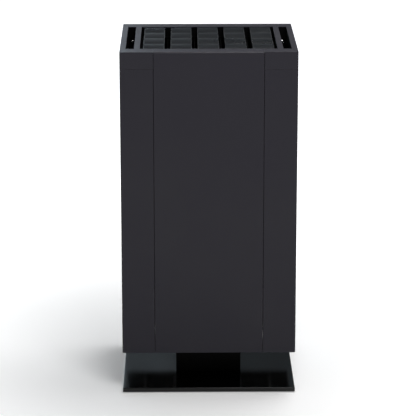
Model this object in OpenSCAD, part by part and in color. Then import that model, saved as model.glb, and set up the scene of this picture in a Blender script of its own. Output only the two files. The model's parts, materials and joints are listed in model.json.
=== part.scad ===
// Floor-standing air purifier: a steel tower on a pedestal and a heavy base plate.
// Room air enters above the base plate, passes two screens, the filters in the drawer
// and the fan, and leaves between the louvre boards in the top.
// Millimetres. The origin is on the floor under the middle; the front faces -Y, up is +Z.

/* [Body] */
// Width of the body
body_w = 400; // [380:1:430]
// Depth of the body
body_d = 351; // [340:1:375]
// Height of the body above the intake gap
body_h = 707; // [690:1:760]
// Thickness of the steel sheet of the casing
sheet_t = 1.5; // [1.2:0.1:2]
// Outer radius of the folded corners
corner_r = 3; // [2.6:0.1:6]
// Width of the drawer front and the rear panel, from seam to seam
panel_w = 249; // [240:1:256]
// Width of the open seams beside them
seam_w = 1; // [0.6:0.1:1.6]
// Height of the crown's skirt and corner caps
cap_h = 39; // [32:1:50]
// Hairline between the crown and the side shells
hairline = 0.4; // [0.2:0.1:0.8]
// Depth of the returns folded behind the front edges
return_d = 12; // [9:0.5:14]
// Width of the rear tabs that carry the rear panel
tab_w = 14; // [11:0.5:18]

/* [Top] */
// Strip in front of the louvres
front_rim = 40.5; // [36:0.5:50]
// Strip behind the louvres
back_rim = 39; // [34:0.5:50]
// Strip outside each hand slot
side_rim = 13; // [11:0.5:18]
// Width of each hand slot
slot_w = 19; // [16:0.5:22]
// Bar between a hand slot and the louvres
bar_w = 13; // [11:0.5:16]
// Depth of the pocket under each hand slot
pocket_h = 60; // [50:1:75]
// Wall of the moulded pockets and the louvre frame
mould_t = 2; // [1.6:0.1:2.4]
// Number of louvre boards
board_n = 5; // [4:1:6]
// Open gap between two louvre boards
board_gap = 14; // [10:0.5:18]
// Depth of the boards' tops below the crown
board_drop = 1.2; // [0.8:0.1:3]
// Number of blades on each board
blade_n = 4; // [3:1:5]
// Rise of each blade from its front edge to its rear edge
blade_rise = 14; // [10:0.5:15]
// Thickness of a blade
blade_t = 1.8; // [1.4:0.1:2.2]
// Height of the louvre frame
frame_h = 22; // [21:0.5:26]
// Pitch of the bars of the finger guard
guard_pitch = 15.5; // [12:0.5:20]

/* [Base] */
// Width of the base plate
plate_w = 400; // [380:1:430]
// Depth of the base plate
plate_d = 351; // [340:1:375]
// Thickness of the base plate
plate_t = 10; // [9:0.5:14]
// Chamfer round the top of the base plate
plate_bevel = 1; // [0.5:0.1:2]
// Thickness of the foot pads
pad_t = 2; // [1.5:0.5:4]
// Diameter of the foot pads
pad_dia = 28; // [20:1:40]
// Distance of the foot pads from the edges of the plate
pad_inset = 32; // [25:1:45]
// Height of the intake gap between plate and body
gap_h = 86; // [75:1:100]
// Width of the pedestal
ped_w = 152.5; // [140:0.5:154]
// Depth of the pedestal
ped_d = 117; // [105:0.5:130]
// Wall of the pedestal
ped_t = 3; // [2.5:0.1:4]
// Thickness of the pedestal's end plates
ped_end_t = 6; // [5:0.5:8]
// Diameter of the pedestal screws
ped_screw = 6; // [5:0.5:8]

/* [Intake] */
// Width of each intake field in the bottom pan
intake_w = 66; // [56:1:68]
// Length of each intake field
intake_d = 256; // [230:1:262]
// Slots in each intake field
intake_n = 5; // [4:1:6]
// Bar between two intake slots
intake_bar = 4; // [3:0.5:5]
// Height of the turned-up rim of the bottom pan
pan_rim = 20; // [14:1:28]
// Thickness of the screen frames
screen_t = 6; // [5:0.5:8]
// Width of the rim of a screen frame
screen_rim = 6; // [5:0.5:8]
// Pitch of the ribs that carry the screen cloth
screen_pitch = 14; // [10:1:20]
// Distance of the screens' pull tongues from the sides of the body
tongue_inset = 10; // [6:1:18]

/* [Filters] */
// Height of the air space under the filters
plenum_h = 60; // [56:1:80]
// Free depth behind the drawer
rear_space = 54; // [48:1:60]
// Sheet of the chassis, the drawer and the decks
chassis_t = 1.2; // [1:0.1:1.6]
// Height of the particle filter
hepa_h = 180; // [150:1:200]
// Height of the carbon filter
carbon_h = 60; // [45:1:75]
// Pleat pitch of the particle filter
pleat = 8; // [6:0.5:12]
// Wall of the filter frames
filter_t = 3; // [2:0.5:4]
// Thickness of the gasket on the filters
gasket_t = 4; // [3:0.5:6]
// Running clearance of sliding pieces
run_gap = 0.3; // [0.2:0.05:0.5]

/* [Fan] */
// Height of the space between the filter seat and the fan deck
mix_h = 55; // [45:1:65]
// Outer diameter of the impeller
fan_dia = 250; // [220:1:262]
// Height of the impeller
fan_h = 75; // [65:1:85]
// Inner diameter of the inlet ring
inlet_dia = 146; // [130:1:152]
// Height of the inlet ring
ring_h = 26; // [22:1:32]
// Number of impeller blades
vane_n = 7; // [5:1:9]
// Diameter of the motor's rotor
rotor_dia = 100; // [90:1:108]
// Diameter of the motor shaft
shaft_dia = 8; // [7:0.5:10]
// Diameter of the standoffs of the motor bracket
post_dia = 12; // [10:1:16]

/* [Rear controls] */
// Width of the recess for the controls
recess_w = 128; // [118:1:140]
// Height of the recess
recess_h = 42; // [40:1:46]
// Depth of the recess
recess_d = 24; // [22:1:28]
// Diameter of the speed knob
knob_dia = 24; // [20:1:28]
// Height of the speed knob
knob_h = 15; // [12:0.5:17]
// Tilt of the power rocker to each side
rocker_tilt = 10; // [8:1:12]

/* [Hidden] */

$fn = 64;
eps = 0.01;

// Heights
z_gap = pad_t + plate_t;
z_body = z_gap + gap_h;
z_floor = z_body + sheet_t;
z_top = z_body + body_h;
z_cap = z_top - cap_h;
z_under = z_top - sheet_t;
z_shelf = z_under - sheet_t - run_gap;
z_rail = z_floor + plenum_h;
z_tray = z_rail + run_gap;
z_hepa = z_tray + chassis_t;
z_carbon = z_hepa + hepa_h;
z_gasket = z_carbon + carbon_h;
z_seat = z_gasket + gasket_t + run_gap;
z_deck = z_seat + chassis_t + mix_h;
z_ring = z_deck + chassis_t;

// Places across and along the body
x_side = body_w / 2;
x_door = (panel_w - seam_w) / 2;
x_column = (panel_w + seam_w) / 2;
x_slot = x_side - side_rim - slot_w / 2;
opening_w = body_w - 2 * (side_rim + slot_w + bar_w);
x_wall = opening_w / 2 + mould_t;
x_bay = x_wall + chassis_t;
x_tray = x_door - 2 * sheet_t;
y_front = -body_d / 2;
y_back = body_d / 2;
y_open = y_front + front_rim;
y_close = y_back - back_rim;
opening_d = y_close - y_open;
y_bulk = y_front + return_d + run_gap;
y_deck = y_bulk + chassis_t;
y_rear = y_back - 2 * sheet_t;
y_tray = y_back - rear_space;

// A box from its lowest to its highest corner
module block(low, high) {
    translate(low) cube(high - low);
}

// The children and their mirror image on the other side
module both_sides() {
    children();
    mirror([1, 0, 0]) children();
}

// An outline in Y and Z drawn out along X, and one in X and Z drawn out along Y
module along_x(x0, x1) {
    translate([x0, 0, 0]) rotate([90, 0, 90]) linear_extrude(x1 - x0) children();
}

module along_y(y0, y1) {
    translate([0, y1, 0]) rotate([90, 0, 0]) linear_extrude(y1 - y0) children();
}

// Points of an arc in equal steps
function arc(centre, r, from, to, steps = 6) =
    [for (i = [0:steps]) centre + r * [cos(from + (to - from) * i / steps),
        sin(from + (to - from) * i / steps)]];

// A rectangle about the origin with rounded corners
module round_rect(size, r) {
    c = size / 2 - [r, r];
    polygon(concat(arc([c.x, -c.y], r, -90, 0), arc(c, r, 0, 90), arc([-c.x, c.y], r, 90, 180),
        arc(-c, r, 180, 270)));
}

// A screw that points down from the origin, with its head above and a hexagon socket
module screw(dia, length) {
    head_dia = 1.8 * dia;
    head_h = 0.6 * dia;
    difference() {
        union() {
            translate([0, 0, -length]) cylinder(d = dia, h = length + head_h / 2);
            cylinder(d = head_dia, h = head_h);
        }
        translate([0, 0, head_h / 2]) cylinder(d = 0.9 * dia, h = head_h, $fn = 6);
    }
}

// A countersunk screw whose head ends flush at the origin, pointing down
module flat_screw(dia, length, head_h) {
    difference() {
        union() {
            translate([0, 0, -length]) cylinder(d = dia, h = length);
            translate([0, 0, -head_h]) cylinder(d1 = dia, d2 = dia + 2 * head_h, h = head_h);
        }
        translate([0, 0, -head_h / 2]) cylinder(d = 0.6 * dia, h = head_h, $fn = 6);
    }
}

module flat_hole(dia, head_h) {
    translate([0, 0, -10]) cylinder(d = dia + screw_fit, h = 20);
    translate([0, 0, -head_h]) cylinder(d1 = dia + screw_fit, d2 = dia + screw_fit + 2 * (head_h + eps),
        h = head_h + eps);
}

/* ---- base ---- */

pad_x = plate_w / 2 - pad_inset;
pad_y = plate_d / 2 - pad_inset;
ped_screw_x = ped_w / 2 - ped_t - 2 * ped_screw;
ped_screw_y = ped_d / 2 - ped_t - 2 * ped_screw;
screw_fit = 0.2;

module at_pedestal_screws() {
    for (sx = [-1, 1], sy = [-1, 1]) translate([sx * ped_screw_x, sy * ped_screw_y, 0]) children();
}

module foot_pads() {
    color("#151515") for (sx = [-1, 1], sy = [-1, 1])
        translate([sx * pad_x, sy * pad_y, 0]) cylinder(d = pad_dia, h = pad_t);
}

module plate_outline(width) {
    polygon([[-width / 2, 0], [width / 2, 0], [width / 2, plate_t - plate_bevel],
        [width / 2 - plate_bevel, plate_t], [plate_bevel - width / 2, plate_t],
            [-width / 2, plate_t - plate_bevel]]);
}

head_room = 1;
module base_plate() {
    color("#0a0b0c") difference() {
        translate([0, 0, pad_t]) intersection() {
            along_y(-plate_d / 2, plate_d / 2) plate_outline(plate_w);
            along_x(-plate_w / 2, plate_w / 2) plate_outline(plate_d);
        }
        at_pedestal_screws() {
            cylinder(d = ped_screw + screw_fit, h = z_gap + 1);
            cylinder(d = 1.8 * ped_screw + screw_fit, h = pad_t + 0.6 * ped_screw + head_room);
        }
    }
}

module pedestal() {
    color("#0d0d0e") difference() {
        block([-ped_w / 2, -ped_d / 2, z_gap], [ped_w / 2, ped_d / 2, z_body]);
        block([-ped_w / 2 + ped_t, -ped_d / 2 + ped_t, z_gap + ped_end_t],
            [ped_w / 2 - ped_t, ped_d / 2 - ped_t, z_body - ped_end_t]);
        at_pedestal_screws() cylinder(d = ped_screw + screw_fit, h = z_body + 1);
    }
}

module plate_screws() {
    color("#8d8f93") at_pedestal_screws() translate([0, 0, pad_t + 0.6 * ped_screw + head_room])
        mirror([0, 0, 1]) screw(ped_screw, plate_t - 0.6 * ped_screw - head_room + ped_end_t);
}

module pan_screws() {
    color("#8d8f93") at_pedestal_screws() translate([0, 0, z_floor])
        screw(ped_screw, sheet_t + ped_end_t);
}

/* ---- bottom pan and intake screens ---- */

x_intake = ped_w / 2 + 8;
intake_slot = (intake_w - (intake_n - 1) * intake_bar) / intake_n;
x_screen = x_intake - screen_rim;
x_screen_end = x_intake + intake_w + screen_rim;
y_screen = intake_d / 2 + screen_rim;
z_screen = z_body - run_gap - screen_t;
x_tongue = x_side - tongue_inset;
rail_lip = 5;
rail_flange = 12;

// Outline of the pan, open to the back, with its front corners cut to clear the shells' bends
module pan_outline(inset) {
    x = x_side - sheet_t - inset;
    y = y_front + sheet_t + inset;
    cut = corner_r - sheet_t;
    polygon([[x - cut, y], [x, y + cut], [x, y_rear + inset], [-x, y_rear + inset], [-x, y + cut],
        [cut - x, y]]);
}

module bottom_pan() {
    y_rim = y_front + sheet_t;
    color("#26272b") difference() {
        union() {
            translate([0, 0, z_body]) linear_extrude(sheet_t) pan_outline(0);
            translate([0, 0, z_body]) linear_extrude(pan_rim) difference() {
                pan_outline(0);
                pan_outline(sheet_t);
            }
        }
        block([-x_column - sheet_t, y_rim - 1, z_body - 1],
            [x_column + sheet_t, y_bulk, z_floor + pan_rim]);
        both_sides() for (i = [0:intake_n - 1]) {
            x = x_intake + i * (intake_slot + intake_bar);
            block([x, -intake_d / 2, z_body - 1], [x + intake_slot, intake_d / 2, z_floor + 1]);
        }
        at_pedestal_screws() translate([0, 0, z_body - 1])
            cylinder(d = ped_screw + screw_fit, h = sheet_t + 2);
    }
}

// Z-section rails along X that hang under the pan and hold a screen by its two ends
module screen_rails() {
    z_lip = z_screen - run_gap - chassis_t;
    y_web = y_screen + run_gap;
    color("#1c1d20") for (s = [-1, 1]) scale([1, s, 1]) both_sides() along_x(x_screen, x_screen_end)
        polygon([[y_screen - rail_lip, z_lip], [y_web + chassis_t, z_lip],
            [y_web + chassis_t, z_body - chassis_t],
            [y_web + rail_flange, z_body - chassis_t], [y_web + rail_flange, z_body], [y_web, z_body],
            [y_web, z_lip + chassis_t], [y_screen - rail_lip, z_lip + chassis_t]]);
}

module screen() {
    rib = 1.2;
    tongue_w = 40;
    lip_t = 3;
    lip_drop = 4;
    columns = floor(intake_w / screen_pitch);
    rows = floor(intake_d / screen_pitch);
    difference() {
        block([x_screen, -y_screen, z_screen], [x_screen_end, y_screen, z_screen + screen_t]);
        block([x_intake, -intake_d / 2, z_screen - 1],
            [x_intake + intake_w, intake_d / 2, z_screen + screen_t + 1]);
    }
    for (i = [1:columns - 1]) {
        x = x_intake + i * intake_w / columns;
        block([x - rib / 2, -intake_d / 2 - eps, z_screen + rib],
            [x + rib / 2, intake_d / 2 + eps, z_screen + 3 * rib]);
    }
    for (i = [1:rows - 1]) {
        y = i * intake_d / rows - intake_d / 2;
        block([x_intake - eps, y - rib / 2, z_screen + rib],
            [x_intake + intake_w + eps, y + rib / 2, z_screen + 3 * rib]);
    }
    block([x_screen_end - eps, -tongue_w / 2, z_screen],
        [x_tongue, tongue_w / 2, z_screen + screen_t / 2]);
    block([x_tongue - lip_t, -tongue_w / 2, z_screen - lip_drop],
        [x_tongue, tongue_w / 2, z_screen + screen_t / 2]);
}

module right_screen() {
    color("#2b2c30") screen();
}

module left_screen() {
    color("#2b2c30") mirror([1, 0, 0]) screen();
}

/* ---- chassis and casing ---- */

module chassis_wall() {
    foot = 16;
    lead_hole = 14;
    difference() {
        union() {
            block([x_wall, y_front + 2 * sheet_t, z_floor], [x_bay, y_rear, z_under]);
            block([x_bay - eps, y_open, z_floor], [x_bay + foot, y_close, z_floor + chassis_t]);
            block([x_bay - eps, y_open, z_under - chassis_t],
                [x_slot - slot_w / 2 - mould_t - 1, y_close, z_under]);
        }
        for (spot = lead_spots) translate([x_wall - 1, spot.x, spot.y]) rotate([0, 90, 0])
            cylinder(d = lead_hole, h = chassis_t + 2);
    }
}

module chassis_right() {
    color("#3a3c41") chassis_wall();
}

module chassis_left() {
    color("#3a3c41") mirror([1, 0, 0]) chassis_wall();
}

// One side of the casing, folded from one sheet: front column, side and rear tab
module side_shell() {
    centre = [x_side - corner_r, y_back - corner_r];
    inner_r = corner_r - sheet_t;
    difference() {
        translate([0, 0, z_body]) linear_extrude(body_h - cap_h - hairline) polygon(concat(
            [[x_column, y_front]],
            arc([centre.x, -centre.y], corner_r, -90, 0),
            arc(centre, corner_r, 0, 90),
            [[x_column, y_back], [x_column, y_back - sheet_t], [x_column - tab_w, y_back - sheet_t],
                [x_column - tab_w, y_rear], [x_column + sheet_t, y_rear],
                    [x_column + sheet_t, y_back - sheet_t]],
            arc(centre, inner_r, 90, 0),
            arc([centre.x, -centre.y], inner_r, 0, -90),
            [[x_column + sheet_t, y_front + sheet_t], [x_column + sheet_t, y_front + return_d],
                [x_column, y_front + return_d]]));
        at_rear_screws() flat_hole(rear_screw, sheet_t);
    }
}

module right_shell() {
    color("#2e2d32") side_shell();
}

module left_shell() {
    color("#2e2d32") mirror([1, 0, 0]) side_shell();
}

// The crown: top plate with two hand slots and the louvre opening, skirt, and a sunk shelf under
// the drawer's lip
module crown() {
    hanger_h = 48;
    color("#4a4c56") difference() {
        union() {
            difference() {
                translate([0, 0, z_cap]) linear_extrude(cap_h) round_rect([body_w, body_d], corner_r);
                translate([0, 0, z_cap - 1]) linear_extrude(cap_h + 1 - sheet_t)
                    round_rect([body_w - 2 * sheet_t, body_d - 2 * sheet_t], corner_r - sheet_t);
                block([-x_column, y_front - 1, z_cap - 1], [x_column, y_open + eps, z_top + 1]);
            }
            block([-x_column - sheet_t, y_bulk, z_shelf],
                [x_column + sheet_t, y_open, z_shelf + sheet_t]);
            both_sides() {
                block([x_column, y_bulk, z_shelf], [x_column + sheet_t, y_open, z_under + eps]);
                block([x_slot - slot_w / 2, y_close + mould_t, z_under - hanger_h],
                    [x_slot + slot_w / 2, y_close + mould_t + sheet_t, z_under + eps]);
            }
        }
        block([-opening_w / 2, y_open, z_shelf - 1], [opening_w / 2, y_close, z_top + 1]);
        both_sides() block([x_slot - slot_w / 2, y_open, z_under - 1],
            [x_slot + slot_w / 2, y_close, z_top + 1]);
        at_pocket_screws() cylinder(d = pocket_screw + screw_fit, h = 20);
    }
}

/* ---- hand pockets ---- */

pocket_screw = 4;
screw_drop = 35;

// The screws point to the back, from inside each pocket
module at_pocket_screws() {
    both_sides() translate([x_slot, y_close, z_top - screw_drop]) rotate([-90, 0, 0]) children();
}

module pocket() {
    z_low = z_under - pocket_h;
    difference() {
        block([x_slot - slot_w / 2 - mould_t, y_open - mould_t, z_low],
            [x_slot + slot_w / 2 + mould_t, y_close + mould_t, z_under]);
        block([x_slot - slot_w / 2, y_open, z_low + mould_t],
            [x_slot + slot_w / 2, y_close, z_under + 1]);
        at_pocket_screws() cylinder(d = pocket_screw + screw_fit, h = 20);
    }
}

module right_pocket() {
    color("#0c0c0d") pocket();
}

module left_pocket() {
    color("#0c0c0d") mirror([1, 0, 0]) pocket();
}

module pocket_screws() {
    color("#c9cacd") at_pocket_screws() mirror([0, 0, 1]) screw(pocket_screw, mould_t + sheet_t + 2);
}

/* ---- louvres ---- */

ledge = 6;
z_frame = z_shelf - frame_h;
z_ledge = z_frame + mould_t;
board_pitch = opening_w / board_n;
board_w = board_pitch - board_gap;

module louvre_frame() {
    color("#0c0c0d") difference() {
        block([-x_wall, y_open - mould_t, z_frame], [x_wall, y_close + mould_t, z_shelf]);
        block([-opening_w / 2, y_open, z_ledge], [opening_w / 2, y_close, z_shelf + 1]);
        block([-opening_w / 2, y_open + ledge, z_frame - 1],
            [opening_w / 2, y_close - ledge, z_shelf + 1]);
    }
}

module finger_guard() {
    rim = 8;
    bar = 2;
    guard_t = 4;
    bars = floor(opening_w / guard_pitch);
    color("#101011") {
        difference() {
            block([-x_wall, y_open - mould_t, z_frame - guard_t], [x_wall, y_close + mould_t, z_frame]);
            block([-x_wall + rim, y_open - mould_t + rim, z_frame - guard_t - 1],
                [x_wall - rim, y_close + mould_t - rim, z_frame + 1]);
        }
        for (i = [1:bars - 1]) {
            x = i * opening_w / bars - opening_w / 2;
            block([x - bar / 2, y_open, z_frame - guard_t],
                [x + bar / 2, y_close, z_frame - guard_t + bar]);
        }
    }
}

// Section of a blade in Y and Z, which curves up from its front edge to a level rear edge
module blade_outline(y, length, z) {
    steps = 8;
    top = [for (i = [0:steps]) [y + length * i / steps, z - blade_rise * pow(1 - i / steps, 2)]];
    polygon(concat(top, [for (i = [steps:-1:0]) top[i] - [0, blade_t]]));
}

// A louvre board: two cheeks with blades between them that rise to the back
module louvre_board(number) {
    cheek = 1.5;
    overlap = 2;
    x0 = (number - 1) * board_pitch - opening_w / 2 + board_gap / 2;
    y0 = y_open + run_gap;
    y1 = y_close - run_gap;
    z1 = z_top - board_drop;
    pitch = (y1 - y0) / blade_n;
    color("#34383c") {
        for (x = [x0, x0 + board_w - cheek]) block([x, y0, z_ledge], [x + cheek, y1, z1 - 1]);
        for (i = [0:blade_n - 1]) along_x(x0 + eps, x0 + board_w - eps)
            blade_outline(y0 + i * pitch, pitch - overlap, z1);
    }
}

/* ---- filter drawer ---- */

module front_panel() {
    centre = [y_front + corner_r, z_top - corner_r];
    color("#302f34") {
        along_x(-x_door, x_door) polygon(concat(
            [[y_front + return_d, z_body], [y_front, z_body]],
            arc(centre, corner_r, 180, 90),
            [[y_open, z_top], [y_open, z_under]],
            arc(centre, corner_r - sheet_t, 90, 180),
            [[y_front + sheet_t, z_floor], [y_front + return_d, z_floor]]));
        both_sides() block([x_door - sheet_t, y_front + sheet_t - eps, z_body + eps],
            [x_door, y_front + return_d, z_cap]);
    }
}

filter_x = x_tray - chassis_t - run_gap;
filter_y0 = y_front + sheet_t + chassis_t + run_gap;
filter_y1 = y_tray - chassis_t - run_gap;

module drawer_tray() {
    wall_h = 26;
    rim = 16;
    y0 = y_front + sheet_t;
    color("#4b4d52") {
        difference() {
            block([-x_tray, y0, z_tray], [x_tray, y_tray, z_tray + wall_h]);
            block([-x_tray + chassis_t, y0 + chassis_t, z_hepa],
                [x_tray - chassis_t, y_tray - chassis_t, z_tray + wall_h + 1]);
            for (s = [-1, 1]) scale([s, 1, 1]) for (i = [0:2]) {
                step = (y_tray - y0 - 2 * rim + rim / 2) / 3;
                block([rim / 4, y0 + rim + i * step, z_tray - 1],
                    [x_tray - rim, y0 + rim / 2 + (i + 1) * step, z_hepa + 1]);
            }
        }
        block([-x_tray + 2 * sheet_t, y0, z_tray], [x_tray - 2 * sheet_t, y0 + chassis_t, z_gasket]);
    }
}

module drawer_rails() {
    shelf_lap = 8;
    guide_h = 8;
    flange_h = 24;
    x0 = x_tray - shelf_lap;
    x1 = x_tray + run_gap;
    color("#55585e") both_sides() along_y(y_deck, y_tray)
        polygon([[x0, z_rail - chassis_t], [x_wall, z_rail - chassis_t],
        [x_wall, z_rail + flange_h], [x_wall - chassis_t, z_rail + flange_h],
            [x_wall - chassis_t, z_rail],
        [x1 + chassis_t, z_rail], [x1 + chassis_t, z_rail + guide_h], [x1, z_rail + guide_h],
            [x1, z_rail], [x0, z_rail]]);
}

module filter_ring(z0, z1) {
    difference() {
        block([-filter_x, filter_y0, z0], [filter_x, filter_y1, z1]);
        block([-filter_x + filter_t, filter_y0 + filter_t, z0 - 1],
            [filter_x - filter_t, filter_y1 - filter_t, z1 + 1]);
    }
}

module hepa_frame() {
    color("#d9dbdc") filter_ring(z_hepa, z_carbon);
}

// Pleated sheet, folded up and down across the filter
module hepa_media() {
    fold_h = 20;
    margin = 4;
    half = filter_x - filter_t;
    folds = 2 * floor(2 * half / pleat / 2);
    step = 2 * half / folds;
    low = z_hepa + margin + fold_h;
    high = z_carbon - margin;
    path = [for (i = [0:folds]) [-half + i * step, i % 2 == 0 ? low : high]];
    back = [for (i = [folds:-1:0]) path[i] - [0, fold_h]];
    color("#f0f0ec") along_y(filter_y0 + filter_t, filter_y1 - filter_t) polygon(concat(path, back));
}

module carbon_frame() {
    color("#3c3f42") filter_ring(z_carbon, z_gasket);
}

module carbon_bed() {
    inset = 5;
    color("#17181a") block([-filter_x + filter_t, filter_y0 + filter_t, z_carbon + inset],
        [filter_x - filter_t, filter_y1 - filter_t, z_gasket - inset]);
}

gasket_w = 14;
module filter_gasket() {
    color("#1a1a1a") difference() {
        block([-filter_x, filter_y0, z_gasket], [filter_x, filter_y1, z_gasket + gasket_t]);
        block([-filter_x + gasket_w, filter_y0 + gasket_w, z_gasket - 1],
            [filter_x - gasket_w, filter_y1 - gasket_w, z_gasket + gasket_t + 1]);
    }
}

// Spring catches on the bulkhead that hold the closed drawer by its front
module drawer_catches() {
    catch_w = 22;
    catch_h = 30;
    x = x_door - sheet_t - run_gap - catch_w;
    z = z_cap - 2 * catch_h;
    color("#c4c6c9") both_sides() difference() {
        block([x, y_front + sheet_t + run_gap, z], [x + catch_w, y_bulk, z + catch_h]);
        block([x - 1, y_front + sheet_t + run_gap + chassis_t, z + chassis_t],
            [x + catch_w - chassis_t, y_bulk - chassis_t, z + catch_h - chassis_t]);
    }
}

/* ---- decks and bulkhead ---- */

seat_x = filter_x - gasket_w;
seat_y0 = filter_y0 + gasket_w;
seat_y1 = filter_y1 - gasket_w;

// Front and rear strips of the frame that the gasket presses on
module filter_seat() {
    x = x_wall - chassis_t;
    color("#303236") for (y = [[y_deck, seat_y0], [seat_y1, y_rear]])
        block([-x, y[0], z_seat], [x, y[1], z_seat + chassis_t]);
}

// Side angles of that frame, welded to the chassis walls
module seat_angles() {
    flange_h = 18;
    color("#303236") both_sides() {
        block([seat_x, seat_y0, z_seat], [x_wall, seat_y1, z_seat + chassis_t]);
        block([x_wall - chassis_t, y_deck, z_seat], [x_wall, y_rear, z_seat + flange_h]);
    }
}

module front_bulkhead() {
    z0 = z_seat + chassis_t;
    color("#3a3c41") {
        block([-x_wall, y_bulk, z0], [x_wall, y_deck, z_shelf]);
        block([-x_wall + chassis_t, y_bulk, z0], [x_wall - chassis_t, seat_y0, z0 + chassis_t]);
    }
}

/* ---- fan ---- */

inlet_r = inlet_dia / 2;
fan_r = fan_dia / 2;
rotor_r = rotor_dia / 2;
ring_flange_w = 34;
ring_flange_r = inlet_r + ring_flange_w;
flange_lap = 8;
eye_gap = 2.5;
eye_lap = 5;
eye_r = inlet_r + chassis_t + eye_gap;
z_eye = z_ring + ring_h - eye_lap;
z_back = z_eye + fan_h;
back_t = 2.5;
z_cup = z_back - 0.38 * rotor_dia;
z_mount = z_back + 0.14 * rotor_dia;
stator_flange_t = 0.06 * rotor_dia;
z_bracket = z_mount + stator_flange_t;
bracket_t = 3;
mount_screw = 4;
post_screw = 5;
post_gap = 12;
post_x = (fan_r + post_dia / 2 + post_gap) / sqrt(2);

module at_posts() {
    for (sx = [-1, 1], sy = [-1, 1]) translate([sx * post_x, sy * post_x, 0]) children();
}

module fan_deck() {
    flange_h = 18;
    color("#55585e") {
        difference() {
            block([-x_wall, y_deck, z_deck], [x_wall, y_rear, z_ring]);
            translate([0, 0, z_deck - 1]) cylinder(r = ring_flange_r - flange_lap, h = chassis_t + 2);
            at_posts() translate([0, 0, z_deck - 1])
                cylinder(d = post_screw + screw_fit, h = chassis_t + 2);
        }
        both_sides() block([x_wall - chassis_t, y_deck, z_deck], [x_wall, y_rear, z_ring + flange_h]);
    }
}

// Bell mouth that leads the air into the eye of the impeller
module inlet_ring() {
    throat_h = 6;
    bell_r = ring_h - throat_h;
    centre = [inlet_r + bell_r, z_ring + bell_r];
    color("#c0c3c6") rotate_extrude() polygon(concat(
        [[ring_flange_r, z_ring], [ring_flange_r, z_ring + chassis_t]],
        arc(centre, bell_r - chassis_t, 270, 180, 10),
        [[inlet_r + chassis_t, z_ring + ring_h], [inlet_r, z_ring + ring_h]],
        arc(centre, bell_r, 180, 270, 10)));
}

// Outline of a curved vane from the eye to the rim, leaning back
module vane_outline() {
    vane_t = 1.6;
    inner = eye_r + 3;
    outer = fan_r - 1;
    sweep = 38;
    steps = 10;
    path = [for (i = [0:steps]) let (r = inner + (outer - inner) * i / steps,
        a = sweep * pow(i / steps, 1.2))
        r * [cos(a), sin(a)]];
    back = [for (i = [steps:-1:0]) path[i] + vane_t * [0.6, -0.8]];
    polygon(concat(path, back));
}

module impeller() {
    shroud_t = 2;
    lip_h = 6;
    shroud_rise = 16;
    color("#1d1e20") {
        rotate_extrude() polygon([[eye_r, z_eye], [eye_r + shroud_t, z_eye],
            [eye_r + shroud_t, z_eye + lip_h],
            [fan_r, z_eye + shroud_rise], [fan_r, z_eye + shroud_rise + shroud_t],
                [eye_r, z_eye + lip_h + shroud_t]]);
        difference() {
            translate([0, 0, z_back]) cylinder(r = fan_r, h = back_t);
            translate([0, 0, z_back - 1]) cylinder(r = rotor_r + screw_fit, h = back_t + 2);
            at_rotor_screws() cylinder(d = mount_screw + screw_fit, h = z_back + 10);
        }
        intersection() {
            translate([0, 0, z_eye]) linear_extrude(fan_h + 1) for (i = [0:vane_n - 1])
                rotate(i * 360 / vane_n) vane_outline();
            rotate_extrude() polygon([[eye_r + shroud_t / 2, z_eye + lip_h + shroud_t / 2],
                [fan_r, z_eye + shroud_rise + shroud_t / 2], [fan_r, z_back + back_t / 2],
                [eye_r + shroud_t / 2, z_back + back_t / 2]]);
        }
    }
}

rotor_flange = 10;
rotor_wall = 3.5;
cup_floor = 3;
module at_rotor_screws() {
    for (i = [0:3]) rotate(i * 90 + 45) translate([rotor_r + rotor_flange / 2, 0, 0]) children();
}

module motor_rotor() {
    hub_r = shaft_dia;
    hub_h = 6;
    color("#7e8186") difference() {
        union() {
            difference() {
                translate([0, 0, z_cup]) cylinder(r = rotor_r, h = z_back + back_t + 3 - z_cup);
                translate([0, 0, z_cup + cup_floor])
                    cylinder(r = rotor_r - rotor_wall, h = z_back - z_cup + 10);
            }
            translate([0, 0, z_cup]) cylinder(r = hub_r, h = hub_h);
            difference() {
                translate([0, 0, z_back - cup_floor]) cylinder(r = rotor_r + rotor_flange, h = cup_floor);
                translate([0, 0, z_back - cup_floor - 1])
                    cylinder(r = rotor_r - rotor_wall / 2, h = cup_floor + 2);
            }
        }
        translate([0, 0, z_cup - 1]) cylinder(d = shaft_dia + 0.02, h = hub_h + 2);
        at_rotor_screws() translate([0, 0, z_back - 2 * cup_floor])
            cylinder(d = mount_screw + screw_fit, h = 20);
    }
}

module impeller_screws() {
    color("#b8babd") at_rotor_screws() translate([0, 0, z_back + back_t])
        screw(mount_screw, back_t + cup_floor + 1);
}

module motor_shaft() {
    color("#d0d2d4") translate([0, 0, z_cup - 1])
        cylinder(d = shaft_dia, h = z_mount + stator_flange_t / 2 - z_cup);
}

bearing_dia = 22;
bearing_h = 7;
bearing_z = [z_cup + 0.09 * rotor_dia, z_mount - bearing_h];

module motor_bearings() {
    color("#dfe1e3") for (z = bearing_z) translate([0, 0, z]) difference() {
        cylinder(d = bearing_dia, h = bearing_h);
        translate([0, 0, -1]) cylinder(d = shaft_dia + 0.06, h = bearing_h + 2);
    }
}

module at_mount_screws() {
    for (i = [0:3]) rotate(i * 90) translate([rotor_r - 8, 0, 0]) children();
}

plug_l = 4;
plug_w = 12;

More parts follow.
